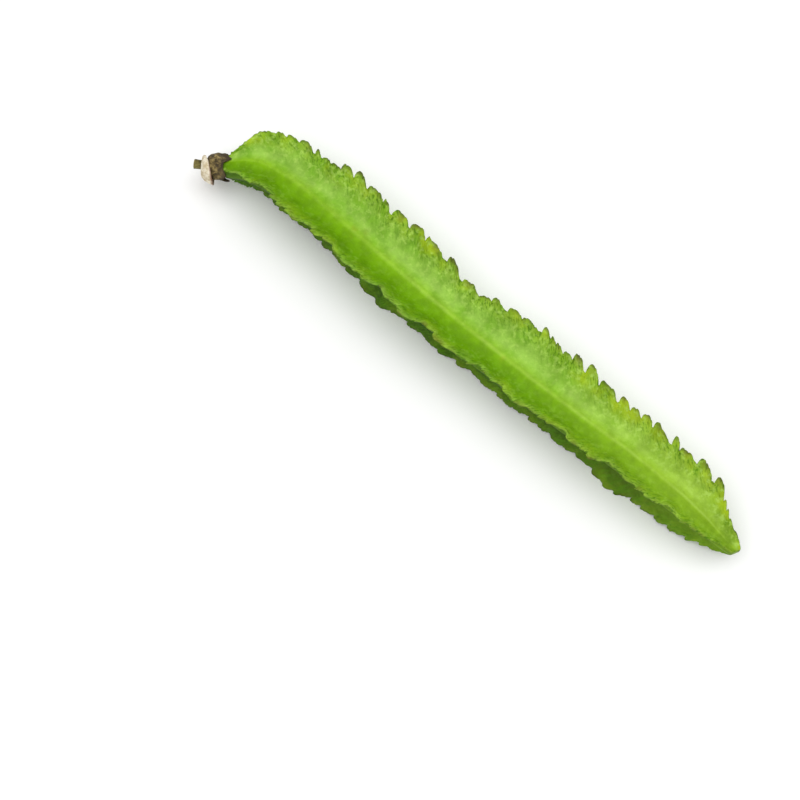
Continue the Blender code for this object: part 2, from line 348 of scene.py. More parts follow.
@dataclass(frozen=True)
class PodFinish:
    """Fresh green skin: pale seams, mottled wings, brownish tooth tips and a soft sheen, with painted light
    and painted shade on its faces.

    The colours come first, then where each one shows. Patches are counted to the metre, but the streaks and
    strokes, which are read along the pod, to the millimetre.
    """

    seam: Colour = linear(164, 202, 78)
    # Painted light: the paler, whiter green laid on faces turned to the lamp, a painted light and sheen.
    painted_light_wing: tuple[tuple[float, Colour], ...] = (
        (0.0, linear(132, 178, 30)), (0.12, linear(142, 187, 54)), (0.35, linear(147, 190, 74)),
        (0.68, linear(146, 189, 70)), (1.0, linear(144, 180, 42)),
    )
    deep_wing: tuple[tuple[float, Colour], ...] = (
        (0.0, linear(130, 177, 22)), (0.1, linear(117, 166, 4)), (0.28, linear(106, 155, 0)),
        (0.6, linear(97, 146, 0)), (0.85, linear(106, 152, 10)), (1.0, linear(142, 182, 66)),
    )
    # Painted shade: the dark green of faces turned away from the lamp, under the pod.
    painted_shade_wing: tuple[tuple[float, Colour], ...] = (
        (0.0, linear(52, 90, 6)), (0.2, linear(26, 58, 0)), (0.6, linear(30, 62, 0)),
        (1.0, linear(46, 80, 8)),
    )
    vein: Colour = linear(86, 140, 14)
    blotch: Colour = linear(104, 160, 6)
    speck: Colour = linear(176, 212, 96)
    stroke: Colour = linear(74, 118, 6)
    yellowing: Colour = linear(168, 196, 34)
    paling: Colour = linear(160, 188, 50)
    beak: Colour = linear(104, 142, 18)
    rusting: Colour = linear(150, 128, 40)
    browning: Colour = linear(92, 74, 34)
    rim: Colour = linear(74, 84, 36)
    outer_part: Rise = Rise(0.35, 0.9)
    near_edge: Rise = Rise(0.56, 0.96)
    near_core: Rise = Rise(0.5, 0.0)
    blotches: Mottle = Mottle(130.0, (0.42, 0.7), 0.5)
    blotches_when_deep: float = 0.15
    paling_along: Rise = Rise(115.0, 200.0, 0.0, 0.45)
    paling_by_painted_lighting: Rise = Rise(-0.6, 0.6, 0.4, 1.0)
    beak_along: Rise = Rise(194.0, 208.0, 0.0, 0.85)
    beak_patches: Mottle = Mottle(300.0, (0.35, 0.65), 1.0, 0.25)
    streak_stretch: float = 5.0
    streaks: Mottle = Mottle(0.62, (0.45, 0.7), 0.6, roughness=0.65)
    stroke_stretch: float = 11.0
    strokes: Mottle = Mottle(1.25, (0.5, 0.64), 0.9, detail=2.0)
    vein_share: float = 0.22
    yellow_patches: Mottle = Mottle(85.0, (0.44, 0.64), 0.85)
    yellowing_by_painted_lighting: Rise = Rise(-0.2, 0.9, 0.2, 1.0)
    specks: Mottle = Mottle(620.0, (0.48, 0.7), 0.6, detail=2.0)
    specks_by_painted_lighting: Rise = Rise(-0.3, 0.9, 0.1, 1.0)
    specks_across: Rise = Rise(0.1, 0.8, 0.25, 1.0)
    seam_across: Rise = Rise(0.13, 0.0)
    seam_by_painted_lighting: Rise = Rise(-0.5, 0.5, 0.06, 0.62)
    seam_from_stem: Rise = Rise(20.0, 120.0, 0.25, 1.0)
    seam_to_beak: Rise = Rise(194.0, 208.0, 1.0, 0.2)
    seam_patches: Mottle = Mottle(70.0, (0.3, 0.6), 1.0, 0.45, detail=2.0)
    rust_patches: Mottle = Mottle(55.0, (0.61, 0.74), 0.4, roughness=0.7)
    shades: Mottle = Mottle(230.0, (0.3, 0.7), 1.1, 0.84, detail=4.0, roughness=0.62)
    brown_patches: Mottle = Mottle(240.0, (0.42, 0.64), 0.65)
    rim_patches: Mottle = Mottle(330.0, (0.36, 0.6), 1.0, 0.25, detail=2.0)
    roughness: float = 0.5
    shine: Mottle = Mottle(160.0, (0.3, 0.7), 0.6, 0.43)
    gloss: float = 0.09
    grain: Mottle = Mottle(1300.0, (0.2, 0.8), 0.3, detail=1.0)
    dimples: Mottle = Mottle(380.0, (0.25, 0.75), 0.7, detail=2.0)
    relief: float = 0.14 * MM

    def material(self) -> bpy.types.Material:
        """The pod's material, built on the mesh's own across, along, wing, painted lighting, vein, tip and
        rim values.

        Returns:
            The finished material.
        """
        shader = Shader("pod_green_skin", self.roughness)
        across, along, wing, tone = (shader.attribute(name) for name in ("across", "along", "wing", "tone"))
        place = shader.place()
        near_edge = shader.within(across, self.near_edge)

        # Painted light and shade: each face is mixed from the own deep green towards the painted light green
        # or the painted shade green by its painted lighting.
        colour = shader.mix(tone, shader.ramp(across, self.deep_wing), shader.ramp(across, self.painted_light_wing))
        # Painted shade: the dark green laid on faces whose painted lighting is below 0.
        colour = shader.mix(shader.times(tone, -1.0), colour, shader.ramp(across, self.painted_shade_wing))

        # The blotches, paling, yellowing, specks and seam below are weighted by the painted lighting, weaker
        # on painted shade.
        by_painted_lighting = shader.math("ADD", tone, self.blotches_when_deep)
        colour = shader.mix(shader.times(shader.mottle(place, self.blotches), by_painted_lighting), colour, self.blotch)
        pale = shader.times(shader.within(along, self.paling_along), shader.within(tone, self.paling_by_painted_lighting))
        colour = shader.mix(pale, colour, self.paling)
        beak = shader.times(shader.within(along, self.beak_along), shader.mottle(place, self.beak_patches))
        colour = shader.mix(beak, colour, self.beak)

        streak_place = shader.vector(along, shader.times(across, self.streak_stretch), wing)
        streaks = shader.mottle(streak_place, self.streaks)
        streaks = shader.times(streaks, shader.within(across, self.outer_part))
        colour = shader.mix(streaks, colour, self.vein)
        stroke_place = shader.vector(along, shader.times(across, self.stroke_stretch), wing)
        strokes = shader.times(shader.mottle(stroke_place, self.strokes), near_edge)
        colour = shader.mix(strokes, colour, self.stroke)
        colour = shader.mix(shader.times(shader.attribute("vein"), self.vein_share), colour, self.vein)

        yellow = shader.mottle(place, self.yellow_patches)
        yellow = shader.times(yellow, shader.within(tone, self.yellowing_by_painted_lighting), near_edge)
        colour = shader.mix(yellow, colour, self.yellowing)
        # Pale specks, partly the skin's own grain and partly painted glints, kept mostly to the faces with
        # painted light.
        specks = shader.times(shader.mottle(place, self.specks), shader.within(tone, self.specks_by_painted_lighting),
                              shader.within(across, self.specks_across))
        colour = shader.mix(specks, colour, self.speck)

        seam = shader.times(
            shader.within(across, self.seam_across), shader.within(tone, self.seam_by_painted_lighting),
            shader.within(along, self.seam_from_stem), shader.within(along, self.seam_to_beak),
            shader.mottle(place, self.seam_patches),
        )
        colour = shader.mix(seam, colour, self.seam)
        rust = shader.times(shader.mottle(place, self.rust_patches), shader.within(across, self.near_core))
        colour = shader.mix(rust, colour, self.rusting)

        shade = shader.mottle(place, self.shades)
        colour = shader.mix(1.0, colour, shader.vector(shade, shade, shade), "MULTIPLY")
        browning = shader.times(shader.attribute("tip"), shader.mottle(place, self.brown_patches))
        colour = shader.mix(browning, colour, self.browning)
        # Dark rim: partly the edge's own brownish colour and partly painted edge shade, set per wing by its
        # rim tone.
        rim = shader.times(shader.attribute("rim"), shader.mottle(place, self.rim_patches))
        colour = shader.mix(rim, colour, self.rim)
        shader.paint(colour)

        shader.surface.inputs["Specular IOR Level"].default_value = self.gloss
        shader.feed(shader.surface.inputs["Roughness"], shader.mottle(place, self.shine))
        relief = shader.math("ADD", streaks, shader.mottle(place, self.grain))
        relief = shader.math("ADD", relief, shader.mottle(place, self.dimples))
        shader.bump(relief, self.relief)
        return shader.material


@dataclass(frozen=True)
class DriedFinish:
    """Dried plant skin: mottled, fibrous along its length and darker or browner towards its rim."""

    name: str
    dark: Colour
    middle: Colour
    light: Colour
    rim: Colour
    rim_from: float
    roughness: float
    relief: float
    patches: Mottle = Mottle(560.0, (0.34, 0.66), detail=5.0, roughness=0.64)
    patch_relief: float = 0.3
    fibres: Mottle = Mottle(14.0, (0.48, 0.66), 0.55, roughness=0.6)
    fibre_stretch: float = 0.6
    rim_patches: Mottle = Mottle(700.0, (0.3, 0.6), 0.95, 0.6)

    def material(self) -> bpy.types.Material:
        """The material, built on the mesh's own along and around values.

        Returns:
            The finished material.
        """
        shader = Shader(self.name, self.roughness)
        place = shader.place()
        along = shader.attribute("along")
        patches = shader.mottle(place, self.patches)
        colour = shader.ramp(patches, ((0.0, self.dark), (0.5, self.middle), (1.0, self.light)))
        fibre_place = shader.vector(shader.attribute("around"), shader.times(along, self.fibre_stretch), 0.0)
        fibres = shader.mottle(fibre_place, self.fibres)
        colour = shader.mix(fibres, colour, self.dark)
        near_rim = shader.within(along, Rise(self.rim_from, 1.0))
        rim = shader.times(shader.mottle(place, self.rim_patches), near_rim)
        shader.paint(shader.mix(rim, colour, self.rim))
        shader.bump(shader.math("ADD", fibres, shader.times(patches, self.patch_relief)), self.relief)
        return shader.material


CALYX_FINISH = DriedFinish(
    "dried_calyx_skin", dark=linear(46, 34, 18), middle=linear(100, 84, 42), light=linear(156, 136, 82),
    rim=linear(52, 40, 20), rim_from=0.7, roughness=0.78, relief=0.25 * MM,
)
BRACT_FINISH = DriedFinish(
    "papery_bract_skin", dark=linear(196, 178, 140), middle=linear(226, 214, 186),
    light=linear(240, 232, 212), rim=linear(128, 84, 62), rim_from=0.86, roughness=0.7, relief=0.12 * MM,
)
STALK_FINISH = DriedFinish(
    "stalk_bark_skin", dark=linear(74, 62, 26), middle=linear(116, 104, 48), light=linear(146, 136, 74),
    rim=linear(206, 194, 142), rim_from=0.93, roughness=0.75, relief=0.2 * MM,
)


def keep_mesh(bm: bmesh.types.BMesh, name: str) -> bpy.types.Mesh:
    """Keep a finished bmesh as a mesh with a name.

    Args:
        bm: the bmesh, which is freed.
        name: the mesh's name.

    Returns:
        The mesh.
    """
    mesh = bpy.data.meshes.new(name)
    bm.to_mesh(mesh)
    bm.free()
    return mesh


def closed_tube(name: str, around: int, rings: int) -> tuple[bpy.types.Mesh, np.ndarray, np.ndarray]:
    """A capped cylinder cut into rings, ready to have its vertices placed by a formula.

    Args:
        name: the mesh's name.
        around: how many vertices a ring has.
        rings: how many steps lie between the first ring and the last.

    Returns:
        The mesh, the number of each vertex's ring, and its place round that ring.
    """
    bm = bmesh.new()
    bmesh.ops.create_cone(bm, cap_ends=True, segments=around, radius1=1, radius2=1, depth=1)
    # The cylinder is 1 high, from -0.5 to 0.5, so only its lengthwise edges rise by more than a half.
    lengthwise = [e for e in bm.edges if abs(e.verts[0].co.z - e.verts[1].co.z) > 0.5]
    bmesh.ops.subdivide_edges(bm, edges=lengthwise, cuts=rings - 1, use_grid_fill=True)
    mesh = keep_mesh(bm, name)
    points = read_points(mesh)
    ring = np.rint((points[:, 2] + 0.5) * rings).astype(int)
    angle = np.arctan2(points[:, 1], points[:, 0])
    place = np.rint((angle - angle[0]) / (2 * math.pi / around)).astype(int) % around
    return mesh, ring, place


def read_points(mesh: bpy.types.Mesh) -> np.ndarray:
    """The places of a mesh's vertices, one row each.

    Args:
        mesh: the mesh that is read.

    Returns:
        The places, in the mesh's own units.
    """
    points = np.empty(len(mesh.vertices) * 3)
    mesh.vertices.foreach_get("co", points)
    return points.reshape(-1, 3)


def store(mesh: bpy.types.Mesh, name: str, values: np.ndarray) -> None:
    """Keep one number for each vertex under a name that the material reads."""
    made = mesh.attributes.new(name, "FLOAT", "POINT")
    made.data.foreach_set("value", np.ascontiguousarray(values, dtype=np.float32))


def face_outwards(mesh: bpy.types.Mesh) -> None:
    """Turn all faces of a closed mesh outwards, and shade it smooth.

    Args:
        mesh: the mesh that is changed.
    """
    bm = bmesh.new()
    bm.from_mesh(mesh)
    bmesh.ops.recalc_face_normals(bm, faces=bm.faces)
    if bm.calc_volume(signed=True) < 0:
        bmesh.ops.reverse_faces(bm, faces=bm.faces)
    bm.to_mesh(mesh)
    bm.free()
    mesh.shade_smooth()


def set_along_neck(mesh: bpy.types.Mesh, points: np.ndarray, place: Matrix) -> None:
    """Set a stem piece's points, given in millimetres along the neck, and turn them into their place."""
    mesh.vertices.foreach_set("co", (points * MM).ravel())
    mesh.transform(place)


def add_object(name: str, data: bpy.types.ID) -> bpy.types.Object:
    """Put a new object with this mesh, camera or light in the scene.

    Args:
        name: the object's name.
        data: what it shows.

    Returns:
        The new object.
    """
    made = bpy.data.objects.new(name, data)
    bpy.context.scene.collection.objects.link(made)
    return made


def place_piece(mesh: bpy.types.Mesh, material: bpy.types.Material, node: str) -> bpy.types.Object:
    """Make a mesh a piece of the object, in place of a node of the frame.

    Args:
        mesh: the finished mesh, already where it belongs.
        material: its finish.
        node: the node that it stands for.

    Returns:
        The new object.
    """
    mesh.materials.append(material)
    piece = add_object(mesh.name, mesh)
    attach(piece, "root")
    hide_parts(node)
    LOG.info("%s: %d vertices, in place of %s", piece.name, len(mesh.vertices), node)
    return piece


@dataclass(frozen=True)
class Wing:
    """One wing: its angle round the section, how its edge bends and waves, its teeth, and its painted light
    and shade.

    A face's painted lighting is 1 for the painted light green of a face turned to the lamp, 0 for the skin's
    own deep green and -1 for the painted shade green of a face turned away. The rim's tone is how dark its
    thin outline is, partly the edge's own brownish colour and partly painted edge shade.
    """

    angle: float
    bend: float
    waviness: float
    highest_tooth: float
    seed: int
    painted_lighting_before: float
    painted_lighting_after: float
    rim_tone: float

    def tone(self, way: Side) -> float:
        """The tone of one of the wing's faces."""
        return self.painted_lighting_before if way is Side.BEFORE else self.painted_lighting_after


@dataclass
class Pod:
    """The winged pod, a fine skin on the sections and teeth of the solid that it stands for, in millimetres.

    Its last two sections and its last teeth are set a little to the side, and its feet are broader.
    """

    neck_x: float = -103.1
    neck_y: float = -7.2
    stations: tuple[tuple[float, ...], ...] = (
        (0.0, 0.0, 10.5, 31.0, 2.6, 2.7, 2.7, 2.7, 2.7),
        (3.0, 1.8, 10.6, 24.0, 3.2, 4.4, 3.5, 3.4, 4.2),
        (5.0, 3.4, 10.7, 18.0, 3.8, 7.6, 5.8, 5.0, 7.2),
        (7.5, 5.3, 10.8, 12.0, 4.3, 12.0, 7.5, 6.4, 9.8),
        (11.5, 7.4, 10.9, 7.0, 4.8, 13.8, 10.0, 7.6, 11.2),
        (18.0, 8.7, 11.0, 3.0, 5.2, 14.6, 12.0, 8.6, 12.0),
        (28.0, 9.0, 11.1, 0.0, 5.4, 14.0, 13.2, 9.4, 12.3),
        (37.0, 8.4, 11.1, -2.0, 5.5, 16.2, 13.4, 9.7, 12.4),
        (47.0, 7.4, 11.1, -3.5, 5.5, 16.5, 13.6, 10.0, 12.4),
        (62.0, 6.0, 11.1, -5.0, 5.5, 15.8, 14.0, 10.6, 12.4),
        (82.0, 4.2, 11.1, -4.5, 5.5, 15.6, 13.8, 11.2, 12.4),
        (95.0, 3.3, 11.1, -3.5, 5.5, 12.8, 13.2, 11.3, 12.4),
        (106.0, 2.7, 11.1, -2.5, 5.5, 15.2, 12.4, 11.0, 12.3),
        (122.0, 2.0, 11.1, -1.5, 5.4, 16.4, 11.6, 10.7, 12.2),
        (134.0, 1.7, 11.1, -1.0, 5.3, 16.0, 11.6, 10.8, 12.1),
        (150.0, 1.5, 11.1, -0.7, 5.2, 13.6, 11.6, 11.0, 12.0),
        (172.0, 1.2, 11.95, -1.5, 4.8, 12.8, 10.2, 11.7, 11.6),
        (190.0, 0.4, 11.4, -3.5, 4.2, 12.0, 8.6, 11.2, 10.4),
        (200.0, -0.4, 10.6, -5.0, 3.3, 9.8, 6.0, 8.8, 8.2),
        (208.0, -1.4, 9.5, -5.0, 2.3, 5.6, 3.6, 5.0, 4.6),
        (213.6, -2.0, 9.0, -5.0, 1.5, 1.9, 1.9, 1.9, 1.9),
    )
    outer_teeth: tuple[tuple[float, float], ...] = (
        (0.0, 0.0), (6.8, 0.3), (12.1, 0.6), (15.4, 0.8), (19.5, 1.4), (25.8, 1.8), (28.5, 0.7),
        (32.3, 0.6), (36.5, 2.2), (41.4, 2.8), (47.1, 1.8), (54.0, 2.0), (59.5, 2.2), (66.6, 2.3),
        (73.5, 2.5), (83.5, 2.6), (91.6, 1.6), (99.4, 0.5), (103.8, 1.6), (110.4, 1.6), (115.6, 1.3),
        (123.2, 2.2), (126.8, 1.3), (129.7, 1.2), (133.4, 1.2), (136.7, 2.6), (142.5, 3.3), (148.6, 3.3),
        (156.7, 2.6), (161.1, 1.7), (165.3, 2.0), (170.0, 3.0), (177.8, 3.0), (180.8, 1.8), (187.4, 2.8),
        (195.2, 3.2), (201.0, 1.2), (203.5, 1.0), (205.9, 0.7), (208.4, 0.2),
    )
    tooth_rise: float = 0.24
    tooth_falls: tuple[float, float] = (1.8, 3.6)
    tooth_ends: tuple[float, float] = (0.76, 1.0)
    tooth_hook: float = 0.35
    tooth_shift: float = 0.28
    least_tooth: float = 0.3
    tooth_rarity: float = 1.3
    tooth_foot: float = 0.62
    smoothing_passes: int = 8
    vein_lean: float = 5.0
    wings: tuple[Wing, ...] = (
        Wing(40.0, -1.0, 1.0, 3.3, 5, painted_lighting_before=0.2, painted_lighting_after=1.0, rim_tone=0.75),
        Wing(126.0, 2.2, 0.7, 2.6, 11, painted_lighting_before=0.0, painted_lighting_after=-0.5, rim_tone=0.15),
        Wing(235.0, 0.8, 0.6, 1.7, 23, painted_lighting_before=-0.8, painted_lighting_after=-0.4, rim_tone=0.4),
        Wing(316.0, -0.8, 0.6, 1.7, 37, painted_lighting_before=-0.3, painted_lighting_after=0.0, rim_tone=0.4),
    )
    rim_thickness: float = 0.36
    face_rounding: float = 1.3
    fillet: float = 0.47
    seam_ridge: float = 0.24
    seam_width: float = 0.8
    ruffles: tuple[tuple[float, float, float], ...] = ((24.0, 1.1, 1.6), (10.5, 0.7, 1.6), (4.4, 0.28, 4.0))
    wander: float = 0.9
    wander_lengths: float = 3.7
    wander_seeding: float = 1.7
    stem_fade: float = 16.0
    beak_fade: float = 20.0
    feet: tuple[tuple[int, float, float], ...] = ((2, 68.0, 2.4), (3, 104.0, 3.0), (2, 168.0, 2.4))
    foot_spread: float = 9.0
    levels: tuple[float, ...] = (0.06, 0.14, 0.24, 0.34, 0.44, 0.54, 0.65, 0.76, 0.86, 0.94, 0.985)
    rim_shape: tuple[tuple[float, float], ...] = ((0.9, 1.0), (0.985, 0.62), (1.0, 0.0))
    rings: int = 1000
    denticle_steps: tuple[float, float] = (0.9, 2.4)
    denticle_heights: tuple[float, float] = (0.05, 0.5)
    denticle_fall: float = 2.2
    denticle_fading: float = 0.25
    thorn_rise: float = 0.2
    vein_steps: tuple[float, float] = (1.2, 3.4)
    vein_width: float = 0.26
    vein_height: float = 0.06
    vein_from: tuple[float, float] = (0.42, 0.75)
    vein_fork: tuple[float, float] = (0.6, 0.9)
    vein_fork_share: float = 0.8
    vein_sweep: float = 5.0
    vein_bending: float = 1.5
    swelling: float = 0.12
    swelling_length: float = 11.0
    swelling_falloff: int = 4
    beak_slant: float = 0.5
    beak_slant_length: float = 6.0
    beak_rounding: float = 0.3
    beak_narrowing: float = 0.15
    beak_browning: float = 1.6
    painted_shade_fade_from_beak: tuple[float, float] = (45.0, 12.0)
    painted_shade_fading: float = 0.6
    painted_lighting_blend: float = 0.16
    tip_from: float = 0.84
    tip_height: float = 2.0
    least_tip: float = 0.3
    rim_from: tuple[float, float] = (0.955, 0.99)
    least_rim: float = 0.3
    pattern_spacing: float = 40.0
    length: float = field(init=False)
    even: np.ndarray = field(init=False)
    core_starts: np.ndarray = field(init=False)
    teeth: list[tuple[np.ndarray, np.ndarray]] = field(init=False)

    def __post_init__(self) -> None:
        """Work out where the teeth of each wing start and how high they are."""
        self.length = self.stations[-1][0]
        outer = np.array([start for start, _ in self.outer_teeth] + [self.length])
        heights = np.array([height for _, height in self.outer_teeth] + [0.0])
        self.even = outer.copy()
        for _ in range(self.smoothing_passes):
            self.even[1:-1] = (self.even[:-2] + 2 * self.even[1:-1] + self.even[2:]) / 4
        self.core_starts = self.even + self.vein_lean * self.fade(self.even)
        self.teeth = [(outer, heights)]
        for wing in self.wings[1:]:
            self.teeth.append(self.seeded_teeth(wing))

    def seeded_teeth(self, wing: Wing) -> tuple[np.ndarray, np.ndarray]:
        """Draw the teeth of a wing whose own can't be seen.

        Args:
            wing: the wing, with its seed.

        Returns:
            Where its teeth start, and how high they are.
        """
        draw = random.Random(Seeding.TEETH.value + wing.seed)
        starts, heights = [0.0], [0.0]
        for before, here, after in zip(self.even, self.even[1:], self.even[2:]):
            starts.append(here + draw.uniform(-self.tooth_shift, self.tooth_shift) * (after - before) / 2)
            size = self.least_tooth + (1 - self.least_tooth) * draw.random() ** self.tooth_rarity
            heights.append(wing.highest_tooth * size * float(self.fade(here)))
        return np.array([*starts, self.length]), np.array([*heights, 0.0])

    def fade(self, x: np.ndarray) -> np.ndarray:
        """From 0 at either end of the pod to 1 along most of it."""
        return np.clip(np.minimum(x / self.stem_fade, (self.length - x) / self.beak_fade), 0.0, 1.0)

    def near_stem(self, x: np.ndarray) -> np.ndarray:
        """From 1 at the neck's end down to 0 where the wings are full."""
        return np.clip(1 - x / self.stem_fade, 0.0, 1.0)

    def station(self, x: np.ndarray, column: int) -> np.ndarray:
        """A station's number on a smooth curve through the stations.

        Args:
            x: distances from the neck's end, in millimetres.
            column: which number.

        Returns:
            Its value at each distance.
        """
        table = np.array(self.stations)
        places, values = table[:, 0], table[:, column]
        slopes = np.gradient(values)
        slopes[1:-1] = (values[2:] - values[:-2]) / (places[2:] - places[:-2])
        slopes[0] = (values[1] - values[0]) / (places[1] - places[0])
        slopes[-1] = (values[-1] - values[-2]) / (places[-1] - places[-2])
        at = np.clip(x, places[0], places[-1])
        low = np.clip(np.searchsorted(places, at) - 1, 0, len(places) - 2)
        width = places[low + 1] - places[low]
        share = (at - places[low]) / width
        eased = share * share * (3 - 2 * share)
        bend = share * (1 - share) * width * (slopes[low] * (1 - share) - slopes[low + 1] * share)
        return values[low] + (values[low + 1] - values[low]) * eased + bend

    def centre(self, x: np.ndarray) -> np.ndarray:
        """The centreline at distances x from the neck's end, one row each."""
        across = self.neck_y + self.station(x, Column.ACROSS.value)
        return np.column_stack((self.neck_x + x, across, self.station(x, Column.UP.value)))

    def face_height(self, across: np.ndarray, half_angle: float, core: np.ndarray,
                    share: np.ndarray) -> np.ndarray:
        """How far from the centre a face stands.

        Args:
            across: distance across the face from its middle line.
            half_angle: half the angle between the two wings beside the face.
            core: the core's half thickness.
            share: share of the way from the middle line to the wing's edge.

        Returns:
            The height of the rounded core, of the wing's flat flank, or of the fillet between them.
        """
        fillet = self.fillet * core * (1 - share ** 2)
        rounded = core - across ** 2 / (2 * self.face_rounding * core)
        flank = across / math.tan(half_angle) + self.rim_thickness / math.sin(half_angle)
        return (rounded + flank + np.hypot(rounded - flank, fillet)) / 2

    def ruffle(self, x: np.ndarray, share: np.ndarray, seed: int) -> np.ndarray:
        """How far a wing is waved to the side, more so towards its edge.

        Args:
            x: distances from the neck's end, in millimetres.
            share: shares of the way to the wing's edge.
            seed: the wing's seed.

        Returns:
            The distance to the side.
        """
        total = np.zeros_like(x)
        for length, height, growth in self.ruffles:
            turns = x / (self.wander_lengths * length)
            wander = self.wander * np.sin(2 * math.pi * turns + self.wander_seeding * seed)
            total += height * share ** growth * np.sin(2 * math.pi * x / length + seed + wander)
        return total

    def lobe(self, phase: np.ndarray, fall: float | np.ndarray, end: float | np.ndarray = 1.0) -> np.ndarray:
        """The outline of a tooth: a steep rounded side towards the stem, then a dome towards the beak.

        Args:
            phase: share of the way from the tooth's start to the next one's.
            fall: how full the dome is.
            end: the phase at which it is back at the notch.

        Returns:
            The height, as a share of the tooth's own.
        """
        rising = np.sqrt(1 - (1 - np.clip(phase / self.tooth_rise, 0.0, 1.0)) ** 2)
        falling = 1 - np.clip((phase - self.tooth_rise) / (end - self.tooth_rise), 0.0, 1.0) ** fall
        return np.where(phase < self.tooth_rise, rising, falling)

    def denticles(self, x: np.ndarray, seed: int) -> np.ndarray:
        """How far the small notches and thorns stand out along a wing's edge.

        Args:
            x: distances along the edge, in millimetres.
            seed: the wing's seed.

        Returns:
            The height, in millimetres.
        """
        draw = random.Random(Seeding.DENTICLES.value + seed)
        starts = [0.0]
        while starts[-1] < self.length + self.stem_fade:
            starts.append(starts[-1] + draw.uniform(*self.denticle_steps))
        heights = np.array([draw.uniform(*self.denticle_heights) for _ in starts])
        starts = np.array(starts)
        number = np.clip(np.searchsorted(starts, x, side="right") - 1, 0, len(starts) - 2)
        phase = (x - starts[number]) / (starts[number + 1] - starts[number])
        return heights[number] * self.lobe(phase, self.denticle_fall)

    def veins(self, along: np.ndarray, share: np.ndarray, seed: int) -> np.ndarray:
        """The side veins of a wing, which fork on their way to its edge.

        Args:
            along: distance along the pod at which a vein's line meets the core.
            share: share of the way to the wing's edge.
            seed: the wing's seed.

        Returns:
            1 on a vein, down to 0 between veins.
        """
        draw = random.Random(Seeding.VEINS.value + seed)
        roots = [-self.vein_sweep]
        while roots[-1] < self.length + 2 * self.vein_sweep:
            roots.append(roots[-1] + draw.uniform(*self.vein_steps))
        roots = np.array(roots)
        number = np.clip(np.searchsorted(roots, along, side="right") - 1, 0, len(roots) - 2)
        low, high = roots[number], roots[number + 1]
        forked = smoothstep(*self.vein_fork, share)
        branch = low + (high - low) / 2 * forked
        main = np.minimum(along - low, high - along)
        ridge = np.exp(-((main / self.vein_width) ** 2))
        fork = self.vein_fork_share * (forked > 0) * np.exp(-(((along - branch) / self.vein_width) ** 2))
        return np.maximum(ridge, fork) * smoothstep(*self.vein_from, share)

    def swept(self, along: np.ndarray, share: np.ndarray) -> np.ndarray:
        """Where along the pod the vein through a point leaves the core, to sweep back towards the stem."""
        return along + self.vein_sweep * share ** self.vein_bending

    def make_mesh(self) -> bpy.types.Mesh:
        """The pod's skin, with the values that its finish reads.

        Returns:
            The mesh, in metres, where it belongs.
        """
        slots_out = [(Side.BEFORE, share) for share in self.levels]
        slots_back = [(Side.AFTER, share) for share in (*reversed(self.levels), 0.0)]
        slots = [*slots_out, (Side.AFTER, 1.0), *slots_back]
        mesh, ring, place = closed_tube("green_pod", len(self.wings) * len(slots), self.rings)
        number, slot = np.divmod(place, len(slots))
        side = np.array([way.value for way, _ in slots])[slot]
        share = np.array([out for _, out in slots])[slot]
        along = ring / self.rings * self.length
        tooth = np.interp(along, self.even, np.arange(len(self.even)))
        core_x = np.interp(tooth, np.arange(len(self.core_starts)), self.core_starts)

        points = np.empty((len(ring), 3))
        tone, vein, tip, rim = (np.zeros(len(ring)) for _ in range(4))
        for index in range(len(self.wings)):
            for way in Side:
                rows = (number == index) & (side == way.value)
                given = (share[rows], along[rows], tooth[rows], core_x[rows])
                points[rows], values = self.wing_face(index, way, *given)
                tone[rows], vein[rows], tip[rows], rim[rows] = values
        points[:, 2] = np.maximum(points[:, 2], 0.0)
        mesh.vertices.foreach_set("co", (points * MM).ravel())
        for name, values in (("across", share), ("along", self.swept(along, share)), ("tone", tone),
                             ("wing", number * self.pattern_spacing), ("vein", vein), ("tip", tip),
                             ("rim", rim)):
            store(mesh, name, values)
        face_outwards(mesh)
        return mesh

    def wing_face(self, index: int, way: Side, share: np.ndarray, along: np.ndarray, tooth: np.ndarray,
                  core_x: np.ndarray) -> tuple[np.ndarray, tuple[np.ndarray, ...]]:
        """Place the points of one face of one wing, with its half of the core's face.

        Args:
            index: the wing's number.
            way: which of its faces.
            share: for each point, its share of the way from the core's middle line to the wing's edge.
            along: the distance along the pod of the point's ring.
            tooth: the same distance counted in teeth.
            core_x: the ring's distance from the neck's end where it meets the core.

        Returns:
            The points in millimetres, and their painted lighting, vein, tip and rim values.
        """
        wing = self.wings[index]
        neighbour = self.wings[(index + way.value) % len(self.wings)]
        half_angle = math.radians(abs((neighbour.angle - wing.angle + 180) % 360 - 180) / 2)
        starts, _ = self.teeth[index]
        edge_x = np.interp(tooth, np.arange(len(starts)), starts)
        x = core_x + (edge_x - core_x) * share
        fade = self.fade(x)

        core = self.station(core_x, Column.CORE.value)
        reach = self.station(x, Column.REACH.value + index)
        across = (reach * math.sin(half_angle) - self.rim_thickness * math.cos(half_angle)) * share
        height = self.face_height(across, half_angle, core, share)
        height += self.seam_ridge * fade * np.exp(-((across / self.seam_width) ** 2))
        swollen = self.swelling * fade * (1 - share) ** self.swelling_falloff
        height += swollen * np.sin(2 * math.pi * x / self.swelling_length)
        out = height * math.cos(half_angle) + across * math.sin(half_angle)
        offset = height * math.sin(half_angle) - across * math.cos(half_angle)

        rim_share, rim_half = zip(*self.rim_shape)
        vein = self.veins(self.swept(along, share), share, wing.seed) * fade
        offset = (offset + self.vein_height * vein) * np.interp(share, rim_share, rim_half) * way.value
        offset += (wing.waviness * self.ruffle(x, share, wing.seed) + wing.bend * share ** 2) * fade

